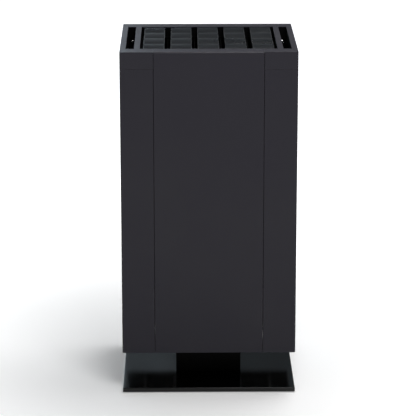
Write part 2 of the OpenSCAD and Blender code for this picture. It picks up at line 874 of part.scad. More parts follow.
// Windings round a bearing tube that stands on the motor's mounting flange, with a socket for its lead
module motor_stator() {
    air_gap = 0.8;
    tube_r = bearing_dia / 2 + 4;
    winding_h = 0.24 * rotor_dia;
    plug_lap = 10;
    color("#9b6a3c") difference() {
        union() {
            translate([0, 0, z_mount]) cylinder(r = rotor_r, h = stator_flange_t);
            block([-rotor_r - plug_l, -plug_w / 2, z_mount], [plug_lap - rotor_r, plug_w / 2, z_bracket]);
            translate([0, 0, bearing_z[0]]) cylinder(r = tube_r, h = z_mount - bearing_z[0] + 1);
            translate([0, 0, bearing_z[0] + 2])
                cylinder(r = rotor_r - rotor_wall - air_gap, h = winding_h);
        }
        translate([0, 0, bearing_z[0] - 1])
            cylinder(d = bearing_dia + 0.04, h = z_mount - bearing_z[0] + 1);
        translate([0, 0, z_mount - 1]) cylinder(d = shaft_dia + 2, h = stator_flange_t - 1);
        at_mount_screws() translate([0, 0, z_mount + 1])
            cylinder(d = mount_screw + screw_fit, h = stator_flange_t);
    }
}

module motor_bracket() {
    arm_w = 26;
    reach = 2 * sqrt(2) * post_x + arm_w;
    color("#55585e") {
        difference() {
            union() {
                for (a = [45, 135]) rotate(a) translate([-reach / 2, -arm_w / 2, z_bracket])
                    cube([reach, arm_w, bracket_t]);
                translate([0, 0, z_bracket]) cylinder(r = rotor_r + 6, h = bracket_t);
            }
            at_posts() translate([0, 0, z_bracket - 1])
                cylinder(d = post_screw + screw_fit, h = bracket_t + 2);
            at_mount_screws() translate([0, 0, z_bracket - 1])
                cylinder(d = mount_screw + screw_fit, h = bracket_t + 2);
        }
    }
}

// Standoffs, each with a screw up through the deck and one down through the bracket
module bracket_posts() {
    color("#b8babd") {
        at_posts() translate([0, 0, z_ring]) cylinder(d = post_dia, h = z_bracket - z_ring);
        at_posts() translate([0, 0, z_bracket + bracket_t]) screw(post_screw, bracket_t + 1);
        at_posts() translate([0, 0, z_deck]) mirror([0, 0, 1]) screw(post_screw, chassis_t + 1);
        at_mount_screws() translate([0, 0, z_bracket + bracket_t]) screw(mount_screw, bracket_t + 4);
    }
}

/* ---- rear panel and controls ---- */

z_recess = z_floor + 8;
y_recess = y_back - recess_d;
recess_mid = z_recess + recess_h / 2;
rear_screw = 4;
rear_screw_rows = 4;
recess_lip = 6;

module at_rear_screws() {
    first = z_body + 90;
    last = z_cap - 24;
    both_sides() for (i = [0:rear_screw_rows - 1])
        translate([x_column - tab_w / 2, y_back, first + i * (last - first) / (rear_screw_rows - 1)])
            rotate([-90, 0, 0]) children();
}

module rear_panel() {
    color("#2e2d32") difference() {
        block([-x_door, y_back - sheet_t, z_body], [x_door, y_back, z_cap - hairline]);
        block([-recess_w / 2, y_back - sheet_t - 1, z_recess],
            [recess_w / 2, y_back + 1, z_recess + recess_h]);
        at_rear_screws() flat_hole(rear_screw, sheet_t);
    }
}

module control_recess() {
    w = recess_w / 2;
    color("#111112") difference() {
        union() {
            block([-w - mould_t, y_recess - mould_t, z_recess - mould_t],
                [w + mould_t, y_back - sheet_t, z_recess + recess_h + mould_t]);
            block([-w - recess_lip, y_back - sheet_t - mould_t, z_recess - recess_lip],
                [w + recess_lip, y_back - sheet_t, z_recess + recess_h + recess_lip]);
        }
        block([-w, y_recess, z_recess], [w, y_back, z_recess + recess_h]);
        recess_cuts();
    }
}

module rear_screws() {
    color("#5d5f63") at_rear_screws() flat_screw(rear_screw, 2 * sheet_t + 3, sheet_t);
}

inlet_x = 24 - recess_w / 2;
inlet_size = [27, 20];
inlet_back = 16;
terminal_l = 7;
y_terminals = y_recess - inlet_back - terminal_l;
flange_t = 2.5;
switch_x = 0;
switch_half = [7.5, 12];
switch_back = 20;
rocker_half = [5, 10];
rocker_gap = 0.4;
y_rocker = y_recess - 1.5;
knob_x = recess_w / 2 - 26;
dial_shaft_dia = 6;
bush_dia = 9;

// Openings in the floor of the recess for the inlet, the switch and the speed control
module recess_cuts() {
    y0 = y_recess - mould_t - 1;
    y1 = y_recess + 1;
    block([inlet_x - inlet_size.x / 2, y0, recess_mid - inlet_size.y / 2],
        [inlet_x + inlet_size.x / 2, y1, recess_mid + inlet_size.y / 2]);
    block([switch_x - switch_half.x, y0, recess_mid - switch_half.y],
        [switch_x + switch_half.x, y1, recess_mid + switch_half.y]);
    translate([knob_x, y0, recess_mid]) rotate([-90, 0, 0])
        cylinder(d = bush_dia + screw_fit, h = mould_t + 2);
}

// Mains socket with a flange, three pins and three terminals behind
module power_inlet() {
    fit = 0.1;
    w = inlet_size.x / 2 - fit;
    h = inlet_size.y / 2 - fit;
    wall = 1.8;
    back_wall = 3;
    flange_w = 4;
    pin = [1, 2.2];
    pins = [[-7, -2.5], [0, 2], [7, -2.5]];
    pin_set_back = 5;
    y0 = y_recess - inlet_back;
    y1 = y_recess + flange_t;
    color("#161617") translate([inlet_x, 0, recess_mid]) {
        difference() {
            union() {
                block([-w, y0, -h], [w, y1, h]);
                block([-w - flange_w, y_recess, -h - flange_w], [w + flange_w, y1, h + flange_w]);
            }
            block([wall - w, y0 + back_wall, wall - h], [w - wall, y1 + 1, h - wall]);
        }
        for (p = pins) block([p.x - pin.x, y_terminals, p.y - pin.y],
            [p.x + pin.x, y1 - pin_set_back, p.y + pin.y]);
    }
}

module switch_body() {
    fit = 0.1;
    w = switch_half.x - fit;
    h = switch_half.y - fit;
    pocket = 8;
    rim = 2.5;
    rim_t = 2;
    color("#161617") translate([switch_x, 0, recess_mid]) difference() {
        union() {
            block([-w, y_recess - switch_back, -h], [w, y_recess + rim_t, h]);
            block([-w - rim, y_recess, -h - rim], [w + rim, y_recess + rim_t, h + rim]);
        }
        block([-rocker_half.x - rocker_gap, y_recess - pocket, -rocker_half.y - 2 * rocker_gap],
            [rocker_half.x + rocker_gap, y_recess + 3, rocker_half.y + 2 * rocker_gap]);
        translate([0, y_rocker, 0]) rotate([0, 90, 0])
            cylinder(d = rocker_pin + 0.1, h = 2 * w - 1, center = true);
    }
}

rocker_pin = 2.4;
rocker_face = 4.5;
module power_rocker() {
    y_end = rocker_face - rocker_half.y * tan(rocker_tilt);
    edge = 3;
    root = 4;
    color("#222224") translate([switch_x, y_rocker, recess_mid]) rotate([-rocker_tilt, 0, 0]) {
        along_x(-rocker_half.x, rocker_half.x) polygon([[rocker_face, 0], [y_end, rocker_half.y],
            [y_end - edge, rocker_half.y], [-root, root], [-root, -root], [y_end - edge, -rocker_half.y],
            [y_end, -rocker_half.y]]);
        rotate([0, 90, 0]) cylinder(d = rocker_pin, h = 2 * rocker_half.x + 3, center = true);
    }
}

module at_knob() {
    translate([knob_x, y_recess, recess_mid]) rotate([-90, 0, 0]) children();
}

nut_h = 2;
knob_lift = 0.5;

dial_depth = 5;
knob_cap = 3;

// Body, bush and nut of the rotary control
module speed_dial_base() {
    body_dia = 17;
    body_h = 11;
    color("#8a8c90") at_knob() difference() {
        union() {
            translate([0, 0, -mould_t - body_h]) cylinder(d = body_dia, h = body_h);
            translate([0, 0, -mould_t - 1]) cylinder(d = bush_dia, h = mould_t + 1 + nut_h);
            cylinder(d = bush_dia + 4, h = nut_h, $fn = 6);
        }
        translate([0, 0, -mould_t - dial_depth - 0.5]) cylinder(d = dial_shaft_dia + 0.1, h = 20);
    }
}

module dial_shaft() {
    color("#b8babd") at_knob() translate([0, 0, -mould_t - dial_depth])
        cylinder(d = dial_shaft_dia, h = mould_t + dial_depth + knob_h - knob_cap);
}

module speed_knob() {
    flutes = 18;
    flute_dia = 2;
    mark_w = 1.2;
    knob_zero = 135;
    color("#1b1b1d") at_knob() difference() {
        translate([0, 0, knob_lift]) cylinder(d = knob_dia, h = knob_h - knob_lift);
        cylinder(d = bush_dia + 6, h = nut_h + 1);
        cylinder(d = dial_shaft_dia + 0.04, h = knob_h - knob_cap);
        for (i = [0:flutes - 1]) rotate(i * 360 / flutes) translate([knob_dia / 2 + 0.4, 0, knob_cap])
            cylinder(d = flute_dia, h = knob_h);
        rotate(knob_zero) translate([0, -knob_dia / 4, knob_h])
            cube([mark_w, knob_dia / 3, mark_w], center = true);
    }
}

/* ---- electrics in the left bay ---- */

supply = [28, 0.31 * body_d, 0.4 * body_d];
supply_y = -supply.y / 2;
z_supply = z_floor + pan_rim;
post_h = 8;
board_t = 1.6;
board = [0.34 * body_d, 0.4 * body_d];
board_y = -board.x / 2;
board_gap_z = 30;
z_board = z_supply + supply.z + board_gap_z;
x_board = x_bay + post_h;
lead_dia = 6;
lead_clear = 12;

// Where the leads pass through the left chassis wall, as Y and Z
lead_spots = [[y_terminals - 3 * lead_clear / 2, recess_mid],
    [y_tray - 3 * lead_clear, z_bracket + lead_clear]];

module power_supply() {
    vents = 9;
    vent_w = 4;
    vent_depth = 1.5;
    margin = 12;
    color("#a8abaf") mirror([1, 0, 0]) difference() {
        block([x_bay, supply_y, z_supply], [x_bay + supply.x, supply_y + supply.y, z_supply + supply.z]);
        for (i = [0:vents - 1]) {
            y = supply_y + margin + i * (supply.y - 2 * margin - vent_w) / (vents - 1);
            block([x_bay + supply.x - vent_depth, y, z_supply + 2 * margin],
                [x_bay + supply.x + 1, y + vent_w, z_supply + supply.z - 2 * margin]);
        }
    }
}

board_post = 3;
module at_board_posts() {
    inset = 2 * board_post;
    for (y = [inset, board.x - inset], z = [inset, board.y - inset])
        translate([-x_bay, board_y + y, z_board + z]) rotate([0, -90, 0]) children();
}

module board_posts() {
    cap_t = 2;
    color("#d8d9d6") at_board_posts() {
        cylinder(d = 2 * board_post, h = post_h);
        cylinder(d = board_post, h = post_h + board_t + 1);
        translate([0, 0, post_h + board_t]) cylinder(d = 1.8 * board_post, h = cap_t);
    }
}

// A block on the board, from its place and size along the board, up it and off it
module board_part(at, size) {
    top = x_board + board_t;
    mirror([1, 0, 0]) block([top - eps, board_y + at.x, z_board + at.y],
        [top + size.z, board_y + at.x + size.x, z_board + at.y + size.y]);
}

// Circuit board with its capacitors, heat sink, relay and terminals
module control_board() {
    capacitor_dia = 16;
    capacitor_h = 22;
    capacitors = [[30, 30], [50, 30]];
    sink_at = [68, 14];
    sink = [35, 46, 3];
    fins = 5;
    fin_t = 3;
    fin_h = 20;
    relay_at = [20, 70];
    relay = [28, 20, 15];
    terminals = 4;
    terminal = [18, 12, 10];
    terminal_at = [16, board.y - 22];
    terminal_pitch = (board.x - 2 * terminal_at.x - terminal.x) / (terminals - 1);
    color("#1f5a3a") {
        difference() {
            mirror([1, 0, 0]) block([x_board, board_y, z_board],
                [x_board + board_t, board_y + board.x, z_board + board.y]);
            at_board_posts() cylinder(d = board_post + screw_fit, h = 20);
        }
        for (at = capacitors) translate([eps - x_board - board_t, board_y + at.x, z_board + at.y])
            rotate([0, -90, 0]) cylinder(d = capacitor_dia, h = capacitor_h);
        board_part(sink_at, sink);
        for (i = [0:fins - 1])
            board_part(sink_at + [1 + i * (sink.x - 2 - fin_t) / (fins - 1), 0], [fin_t, sink.y, fin_h]);
        board_part(relay_at, relay);
        for (i = [0:terminals - 1]) board_part(terminal_at + [i * terminal_pitch, 0], terminal);
    }
}

function unit(v) = v / norm(v);

// A curve through points, with k steps from each to the next
function between(a, b, c, d, t) = 0.5 * (2 * b + (c - a) * t + (2 * a - 5 * b + 4 * c - d) * t * t
    + (3 * b - a - 3 * c + d) * t * t * t);
function smooth(p, k) = concat([for (i = [0:len(p) - 2], s = [0:k - 1])
    between(p[max(i - 1, 0)], p[i], p[i + 1], p[min(i + 2, len(p) - 1)], s / k)], [p[len(p) - 1]]);

// The headings along it, and normals carried along without twist
function headings(p, first, last) = [for (i = [0:len(p) - 1])
    i == 0 ? first : i == len(p) - 1 ? last : unit(p[i + 1] - p[i - 1])];
function normals(t, n, i = 0) = i == len(t) ? [] :
    let (m = unit(n - (n * t[i]) * t[i])) concat([m], normals(t, m, i + 1));

// A round lead along that curve
module lead(points, dia) {
    sides = 8;
    steps = 4;
    path = smooth(points, steps);
    end = len(points) - 1;
    t = headings(path, unit(points[1] - points[0]), unit(points[end] - points[end - 1]));
    n = normals(t, abs(t[0].z) > 0.9 ? [1, 0, 0] : [0, 0, 1]);
    last = len(path) - 1;
    polyhedron(
        points = [for (i = [0:last], j = [0:sides - 1])
            path[i] + dia / 2 * (cos(j * 360 / sides) * n[i] + sin(j * 360 / sides) * cross(t[i], n[i]))],
        faces = concat(
            [[for (j = [0:sides - 1]) j]],
            [[for (j = [sides - 1:-1:0]) last * sides + j]],
            [for (i = [0:last - 1], j = [0:sides - 1]) let (k = (j + 1) % sides)
                [i * sides + j, (i + 1) * sides + j, (i + 1) * sides + k, i * sides + k]]));
}

// From the terminals of the inlet along the rear, through the chassis wall and to the power supply
module mains_lead() {
    spot = lead_spots[0];
    x_run = x_bay + supply.x / 2;
    y_end = supply_y + supply.y;
    z_run = z_supply + 2 * lead_clear;
    tail = lead_dia;
    color("#1a1a1a") lead([
        [inlet_x, y_terminals, recess_mid],
        [inlet_x, y_terminals - tail, recess_mid],
        [inlet_x - lead_clear, spot.x, recess_mid],
        [(inlet_x - x_wall) / 2, spot.x, spot.y],
        [lead_clear - x_wall, spot.x, spot.y],
        [-x_bay - lead_dia / 2, spot.x, spot.y],
        [-x_run, spot.x - lead_clear, spot.y + tail],
        [-x_run, y_end + lead_clear, z_run],
        [-x_run, y_end, z_run]], lead_dia);
}

// From the control board up the left bay, through the chassis wall and in to the motor's flange
module motor_lead() {
    spot = lead_spots[1];
    y0 = board_y + board.x / 2;
    z0 = z_board + board.y;
    x_run = x_board + board_t / 2;
    z_flange = z_mount + stator_flange_t / 2;
    color("#1a1a1a") lead([
        [-x_run, y0, z0],
        [-x_run, y0, z0 + lead_clear],
        [-x_run, y0 + lead_clear / 2, z0 + 3 * lead_clear],
        [-x_run, (y0 + spot.x) / 2, (z0 + spot.y) / 2],
        [-x_run, spot.x - lead_dia, spot.y - lead_clear],
        [-x_bay - lead_dia / 2, spot.x, spot.y],
        [lead_clear - x_wall, spot.x, spot.y],
        [3 * lead_clear - x_wall, spot.x - lead_clear, spot.y - lead_dia / 2],
        [-rotor_r - 3 * lead_clear, lead_dia, z_flange + 2],
        [-rotor_r - plug_l - lead_clear, 0, z_flange],
        [-rotor_r - plug_l, 0, z_flange]], lead_dia);
}

foot_pads();
base_plate();
pedestal();
plate_screws();
pan_screws();
bottom_pan();
screen_rails();
left_screen();
right_screen();
chassis_left();
chassis_right();
left_shell();
right_shell();
crown();
rear_panel();
rear_screws();
left_pocket();
right_pocket();
pocket_screws();
louvre_frame();
finger_guard();
louvre_board(1);  // louvre_board_1
louvre_board(2);  // louvre_board_2
louvre_board(3);  // louvre_board_3
louvre_board(4);  // louvre_board_4
louvre_board(5);  // louvre_board_5
front_panel();
drawer_tray();
drawer_rails();
hepa_frame();
hepa_media();
carbon_frame();
carbon_bed();
filter_gasket();
drawer_catches();
filter_seat();
seat_angles();
front_bulkhead();
fan_deck();
inlet_ring();
bracket_posts();
motor_bracket();
motor_stator();
motor_bearings();
motor_rotor();
motor_shaft();
impeller();
impeller_screws();
control_recess();
power_inlet();
switch_body();
power_rocker();
speed_dial_base();
dial_shaft();
speed_knob();
power_supply();
control_board();
board_posts();
mains_lead();
motor_lead();
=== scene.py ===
"""Looks of the floor-standing air purifier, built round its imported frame.

Lengths are in metres in the frame's own axes: the front faces -Y and up is +Z.
"""
import json
import math

import bpy
from mathutils import Matrix, Vector


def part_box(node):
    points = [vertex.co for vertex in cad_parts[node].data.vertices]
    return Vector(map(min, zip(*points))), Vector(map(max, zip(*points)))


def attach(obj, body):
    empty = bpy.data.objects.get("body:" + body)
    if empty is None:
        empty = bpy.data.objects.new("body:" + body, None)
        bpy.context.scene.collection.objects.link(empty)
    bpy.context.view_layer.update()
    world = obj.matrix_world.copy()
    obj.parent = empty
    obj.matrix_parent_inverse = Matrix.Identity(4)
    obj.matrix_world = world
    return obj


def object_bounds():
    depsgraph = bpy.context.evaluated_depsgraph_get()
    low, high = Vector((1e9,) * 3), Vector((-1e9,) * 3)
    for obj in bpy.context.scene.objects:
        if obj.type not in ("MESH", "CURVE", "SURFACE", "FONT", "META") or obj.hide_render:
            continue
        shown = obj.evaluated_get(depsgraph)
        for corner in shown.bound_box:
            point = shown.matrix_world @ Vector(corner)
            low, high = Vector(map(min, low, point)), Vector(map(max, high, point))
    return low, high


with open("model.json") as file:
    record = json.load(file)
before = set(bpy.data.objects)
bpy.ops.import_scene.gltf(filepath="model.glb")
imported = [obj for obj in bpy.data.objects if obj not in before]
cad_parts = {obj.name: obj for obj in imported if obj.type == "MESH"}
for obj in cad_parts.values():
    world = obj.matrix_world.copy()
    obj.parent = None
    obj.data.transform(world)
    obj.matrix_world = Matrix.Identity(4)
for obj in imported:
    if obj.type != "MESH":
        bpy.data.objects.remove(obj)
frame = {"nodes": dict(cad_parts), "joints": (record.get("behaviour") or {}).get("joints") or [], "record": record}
cad_low, cad_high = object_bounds()
nodes = frame["nodes"]

# The view: a long lens, a little above the top and turned slightly to the right. The sensor and
# the lens are in millimetres.
VIEW_DISTANCE = 4.605
VIEW_LEFT = 0.0588
VIEW_ABOVE_TOP = 0.9049
VIEW_PITCH = math.radians(15.354)
VIEW_TURN = math.radians(0.705)
SENSOR = 36.0
LENS = 181.95

# Noises: the range that most of their values lie in, the octaves of the slow ones and of the
# surface grain, and the grain's height
NOISE_LOW = 0.3
NOISE_HIGH = 0.7
SLOW_DETAIL = 4.0
GRAIN_DETAIL = 2.0
GRAIN_HEIGHT = 0.0004

# The coat of the case and its rubbed edges, whose lighter colour is partly rubbed paint and partly a painted edge
# highlight: how far the lighter edge reaches from an edge, how well the rounded and the true normal agree where it
# starts and where it is full, the cells per metre of its patches, the least of it between them and how much
# smoother a rubbed edge is
COAT_COLOR = (0.0148, 0.0134, 0.0205)
# The lighter edge colour: partly rubbed paint, partly a painted edge highlight
RUBBED_AND_HIGHLIGHT_COLOR = (0.024, 0.023, 0.029)
RUB_AND_HIGHLIGHT_WIDTH = 0.0012
RUB_AND_HIGHLIGHT_SAMPLES = 6
RUB_AND_HIGHLIGHT_STARTS = 0.995
RUB_AND_HIGHLIGHT_FULL = 0.8
RUB_AND_HIGHLIGHT_PATCHES = 45
RUB_AND_HIGHLIGHT_LEAST = 0.2
WEAR_POLISH = 0.1

# Rounded edges of the sheet-metal shells and the base plate
EDGE_RADIUS = 0.0004
EDGE_SEGMENTS = 3
EDGE_ANGLE = math.radians(40)
WELD_DISTANCE = 1e-6

# The scale round the speed knob. Reaches are measured from the knob's edge.
RECESS_WALL = 0.002
DIAL_STEPS = 5
DIAL_SWEEP = math.radians(270)
TICKS_PER_STEP = 5
TICK_HEIGHT = 0.00015
TICK_FROM = 0.0012
MINOR_TICK_TO = 0.0024
MAJOR_TICK_TO = 0.0032
MINOR_TICK_WIDTH = 0.00024
MAJOR_TICK_WIDTH = 0.0004
NUMBER_REACH = 0.0058
NUMBER_SIZE = 0.0042
NUMBER_HEIGHT = 0.00008

# The knob's pointer, from and to a share of the knob's width away from its middle
POINTER_WIDTH = 0.0008
POINTER_HEIGHT = 0.0001
POINTER_FROM = 1 / 12
POINTER_TO = 5 / 12

# The stroke and the ring on the rocker
ROCKER_FACE = 0.0045
MARK_REACH = 0.0055
MARK_HEIGHT = 0.0001
MARK_SUNK = 0.00005
MARK_HALF = 0.0017
STROKE_HALF_WIDTH = 0.0003
RING_INNER = 0.0012
RING_STEPS = 40

# The moulded net of the intake screens, and how far its strands reach into their rims
SCREEN_RIM = 0.006
INTAKE_WIDTH = 0.066
SCREEN_NET_DEPTH = 0.0036
NET_PITCH = 0.0024
NET_STRAND = 0.00035
NET_ANCHOR = 0.0005

# The foam strip behind the seam between the crown and the rear panel
SEAL_HEIGHT = 0.016
SEAL_DEPTH = 0.0017
SEAL_SETBACK = 0.0018
SEAL_END_GAP = 0.001

# The domed crowns of the screws in the hand slots. The cross in them reaches out to a share of
# the radius.
DOME_RISE = 0.0011
DOME_SUNK = 0.0001
DOME_RINGS = 14
DOME_STEPS = 48
CROSS_REACH = 0.62
CROSS_HALF_WIDTH = 0.00045
CROSS_DEPTH = 0.0009

# The floor: its half side, its own white, what it gives back to the object, and how its shadow
# fades to white with the distance from the middle
FLOOR_HALF = 30.0
FLOOR_WHITE = 0.9
FLOOR_BOUNCE = 0.35
FLOOR_LIFT = 0.17
FADE_FROM = 0.35
FADE_TO = 1.6

# The sky's light, and the white sweep behind the floor as reflections see it: up to the first
# height above the horizon it is full, and at the second it ends
SKY_LEVEL = 0.02
SWEEP_FULL = math.radians(3)
SWEEP_END = math.radians(9)


# ---------------------------------------------------------------- materials

def new_material(name):
    """A new material, its node tree and its shader."""
    material = bpy.data.materials.new(name)
    material.use_nodes = True
    tree = material.node_tree
    return material, tree, tree.nodes["Principled BSDF"]


def noise(tree, scale, detail, stretch=(1, 1, 1)):
    """Noise in the piece's own coordinates, with scale in cells per metre."""
    place = tree.nodes.new("ShaderNodeTexCoord")
    mapping = tree.nodes.new("ShaderNodeMapping")
    mapping.inputs["Scale"].default_value = stretch
    texture = tree.nodes.new("ShaderNodeTexNoise")
    texture.inputs["Scale"].default_value = scale
    texture.inputs["Detail"].default_value = detail
    tree.links.new(place.outputs["Object"], mapping.inputs["Vector"])
    tree.links.new(mapping.outputs["Vector"], texture.inputs["Vector"])
    return texture.outputs["Fac"]


def maths(tree, operation, first, second):
    """The result of a Math node on two sockets."""
    node = tree.nodes.new("ShaderNodeMath")
    node.operation = operation
    tree.links.new(first, node.inputs[0])
    tree.links.new(second, node.inputs[1])
    return node.outputs[0]


def spread(tree, value, low, high):
    """Maps the main part of a noise's range to the range from low to high."""
    node = tree.nodes.new("ShaderNodeMapRange")
    node.inputs["From Min"].default_value = NOISE_LOW
    node.inputs["From Max"].default_value = NOISE_HIGH
    node.inputs["To Min"].default_value = low
    node.inputs["To Max"].default_value = high
    tree.links.new(value, node.inputs["Value"])
    return node.outputs["Result"]


# The mask of the lighter edges, which are partly rubbed paint and partly a painted edge highlight
def worn_edges(tree, patches):
    """One along the outer edges and zero on flat faces, broken up by a noise."""
    rounded = tree.nodes.new("ShaderNodeBevel")
    rounded.samples = RUB_AND_HIGHLIGHT_SAMPLES
    rounded.inputs["Radius"].default_value = RUB_AND_HIGHLIGHT_WIDTH
    surface = tree.nodes.new("ShaderNodeNewGeometry")
    agree = tree.nodes.new("ShaderNodeVectorMath")
    agree.operation = "DOT_PRODUCT"
    tree.links.new(rounded.outputs["Normal"], agree.inputs[0])
    tree.links.new(surface.outputs["Normal"], agree.inputs[1])
    edge = tree.nodes.new("ShaderNodeMapRange")
    edge.inputs["From Min"].default_value = RUB_AND_HIGHLIGHT_STARTS
    edge.inputs["From Max"].default_value = RUB_AND_HIGHLIGHT_FULL
    tree.links.new(agree.outputs["Value"], edge.inputs["Value"])
    return maths(tree, "MULTIPLY", edge.outputs["Result"], spread(tree, patches, RUB_AND_HIGHLIGHT_LEAST, 1))


def blended(tree, first, second, share):
    """A colour or colour socket that turns into a second colour by a share."""
    node = tree.nodes.new("ShaderNodeMix")
    node.data_type = "RGBA"
    if isinstance(first, bpy.types.NodeSocket):
        tree.links.new(first, node.inputs["A"])
    else:
        node.inputs["A"].default_value = first
    node.inputs["B"].default_value = second
    tree.links.new(share, node.inputs["Factor"])
    return node.outputs["Result"]


def finish(name, color, roughness, metallic=0.0, mottle=0.06, rough_mottle=0.04, mottle_scale=9,
           grain=900, bump=0.04, stretch=(1, 1, 1), specular=0.5, edge_rub_and_highlight=None):
    """A surface with a slow change of colour and gloss and a fine raised grain.

    The colour edge_rub_and_highlight, if given, shows along its rubbed edges, partly as rubbed paint and partly as
    a painted edge highlight.
    """
    material, tree, shader = new_material(name)
    shader.inputs["Metallic"].default_value = metallic
    shader.inputs["Specular IOR Level"].default_value = specular
    slow = noise(tree, mottle_scale, SLOW_DETAIL)
    dull = [c * (1 - mottle) for c in color] + [1]
    bright = [min(1.0, c * (1 + mottle)) for c in color] + [1]
    tint = blended(tree, dull, bright, spread(tree, slow, 0, 1))
    gloss = spread(tree, slow, roughness - rough_mottle, roughness + rough_mottle)
    if edge_rub_and_highlight:
        # Lighter edges: partly rubbed paint, partly a painted edge highlight; the smoother roughness there is real
        rubbed_and_highlit = worn_edges(tree, noise(tree, RUB_AND_HIGHLIGHT_PATCHES, SLOW_DETAIL))
        tint = blended(tree, tint, edge_rub_and_highlight + (1,), rubbed_and_highlit)
        polish = tree.nodes.new("ShaderNodeMix")
        polish.inputs["B"].default_value = roughness - WEAR_POLISH
        tree.links.new(rubbed_and_highlit, polish.inputs["Factor"])
        tree.links.new(gloss, polish.inputs["A"])
        gloss = polish.outputs["Result"]
    tree.links.new(tint, shader.inputs["Base Color"])
    tree.links.new(gloss, shader.inputs["Roughness"])
    fine = noise(tree, grain, GRAIN_DETAIL, stretch)
    raised = tree.nodes.new("ShaderNodeBump")
    raised.inputs["Strength"].default_value = bump
    raised.inputs["Distance"].default_value = GRAIN_HEIGHT
    tree.links.new(fine, raised.inputs["Height"])
    tree.links.new(raised.outputs["Normal"], shader.inputs["Normal"])
    return material


MATERIALS = {
    # The coats' lighter edges are partly rubbed paint and partly a painted edge highlight
    "casing_sheet": finish("casing_coat", COAT_COLOR, 0.42, bump=0.05, grain=1400,
                           specular=0.25, edge_rub_and_highlight=RUBBED_AND_HIGHLIGHT_COLOR),
    "crown_coat": finish("crown_coat", COAT_COLOR, 0.36, bump=0.05, grain=1400,
                         specular=0.25, edge_rub_and_highlight=RUBBED_AND_HIGHLIGHT_COLOR),
    "base_gloss": finish("polished_black", (0.0004, 0.0005, 0.0006), 0.13, rough_mottle=0.01,
                         bump=0.01, specular=0.35),
    "pedestal_coat": finish("satin_black", (0.0016, 0.0016, 0.0017), 0.45, specular=0.06),
    "louvre_plastic": finish("charcoal_gloss", (0.009, 0.0105, 0.0125), 0.3, bump=0.03,
                             specular=0.4),
    "black_plastic": finish("black_moulding", (0.0025, 0.0025, 0.0027), 0.6, bump=0.12,
                            specular=0.03),
    "black_sheet": finish("black_primer", (0.003, 0.003, 0.0032), 0.7, bump=0.08, specular=0.01),
    "zinc_sheet": finish("zinc_sheet", (0.42, 0.43, 0.45), 0.38, metallic=1.0, mottle=0.16,
                         mottle_scale=60, bump=0.05),
    "screw_steel": finish("bright_zinc", (0.62, 0.62, 0.63), 0.22, metallic=1.0, bump=0.03),
    "pad_rubber": finish("pad_rubber", (0.02, 0.02, 0.02), 0.8, bump=0.2, grain=600),
    "gasket_foam": finish("gasket_foam", (0.03, 0.03, 0.031), 0.9, bump=0.5, grain=700),
    "media_paper": finish("filter_paper", (0.82, 0.82, 0.78), 0.95, bump=0.3, grain=1200),
    "filter_card": finish("filter_frame", (0.60, 0.61, 0.63), 0.6, bump=0.08),
    "carbon": finish("carbon_grains", (0.02, 0.02, 0.021), 0.7, bump=0.9, grain=420, mottle=0.5,
                     mottle_scale=300),
    "screen_plastic": finish("screen_plastic", (0.008, 0.0082, 0.009), 0.55, bump=0.08,
                             specular=0.15),
    "cast_aluminium": finish("blasted_aluminium", (0.6, 0.61, 0.63), 0.45, metallic=1.0,
                             bump=0.15, grain=1500),
    "motor_winding": finish("varnished_copper", (0.45, 0.2, 0.08), 0.35, metallic=0.8, bump=0.3,
                            stretch=(0.2, 0.2, 3)),
    "board_green": finish("solder_mask", (0.02, 0.12, 0.06), 0.35, bump=0.1, mottle=0.2,
                          mottle_scale=120),
    "lead_sheath": finish("lead_sheath", (0.012, 0.012, 0.012), 0.5, bump=0.1),
    "knob_plastic": finish("knob_plastic", (0.018, 0.018, 0.02), 0.5, bump=0.15, grain=1600),
}
MARKING = finish("marking_ink", (0.62, 0.63, 0.64), 0.6, bump=0.1, grain=2000)


def dress_nodes():
    """Gives every CAD node the material of its slot."""
    for entry in frame["record"]["subparts"]:
        mesh = nodes[entry["node"]].data
        mesh.materials.clear()
        mesh.materials.append(MATERIALS[entry["material_slot"]])


def soften(node):
    """Rounds a node's hard edges with modifiers."""
    piece = nodes[node]
    weld = piece.modifiers.new("weld", "WELD")
    weld.merge_threshold = WELD_DISTANCE
    bevel = piece.modifiers.new("bevel", "BEVEL")
    bevel.width = EDGE_RADIUS
    bevel.segments = EDGE_SEGMENTS
    bevel.limit_method = "ANGLE"
    bevel.angle_limit = EDGE_ANGLE
    bevel.harden_normals = True


# ---------------------------------------------------------------- detail pieces

def joint(name):
    """The frame's joint of that name."""
    return next(j for j in frame["joints"] if j["name"] == name)


def add_piece(name, shape, material, body):
    """A mesh piece, given as points and faces, that rides on a body."""
    mesh = bpy.data.meshes.new(name)
    mesh.from_pydata(shape[0], [], shape[1])
    mesh.materials.append(material)
    piece = bpy.data.objects.new(name, mesh)
    bpy.context.scene.collection.objects.link(piece)
    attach(piece, body)
    return piece


BOX_FACES = ((0, 2, 3, 1), (4, 5, 7, 6), (0, 1, 5, 4), (2, 6, 7, 3), (0, 4, 6, 2), (1, 3, 7, 5))


def join(shape, points, faces):
    """Adds points and faces to a shape."""
    n = len(shape[0])
    shape[0].extend(points)
    shape[1].extend(tuple(n + k for k in face) for face in faces)


def bar(shape, low, high):
    """Adds a box between two corners to a shape."""
    join(shape, [(x, y, z) for z in (low[2], high[2]) for y in (low[1], high[1])
                 for x in (low[0], high[0])], BOX_FACES)


def turned(shape, matrix):
    """A shape moved by a matrix."""
    return [tuple(matrix @ Vector(v)) for v in shape[0]], shape[1]


def ring_shape(inner, outer, height):
    """A flat ring about Z that starts at the XY plane."""
    points, faces = [], []
    for k in range(RING_STEPS):
        a = 2 * math.pi * k / RING_STEPS
        for r, z in ((inner, 0), (outer, 0), (outer, height), (inner, height)):
            points.append((r * math.cos(a), r * math.sin(a), z))
    for k in range(RING_STEPS):
        here, there = 4 * k, 4 * ((k + 1) % RING_STEPS)
        for i in range(4):
            j = (i + 1) % 4
            faces.append((here + i, there + i, there + j, here + j))
    return points, faces


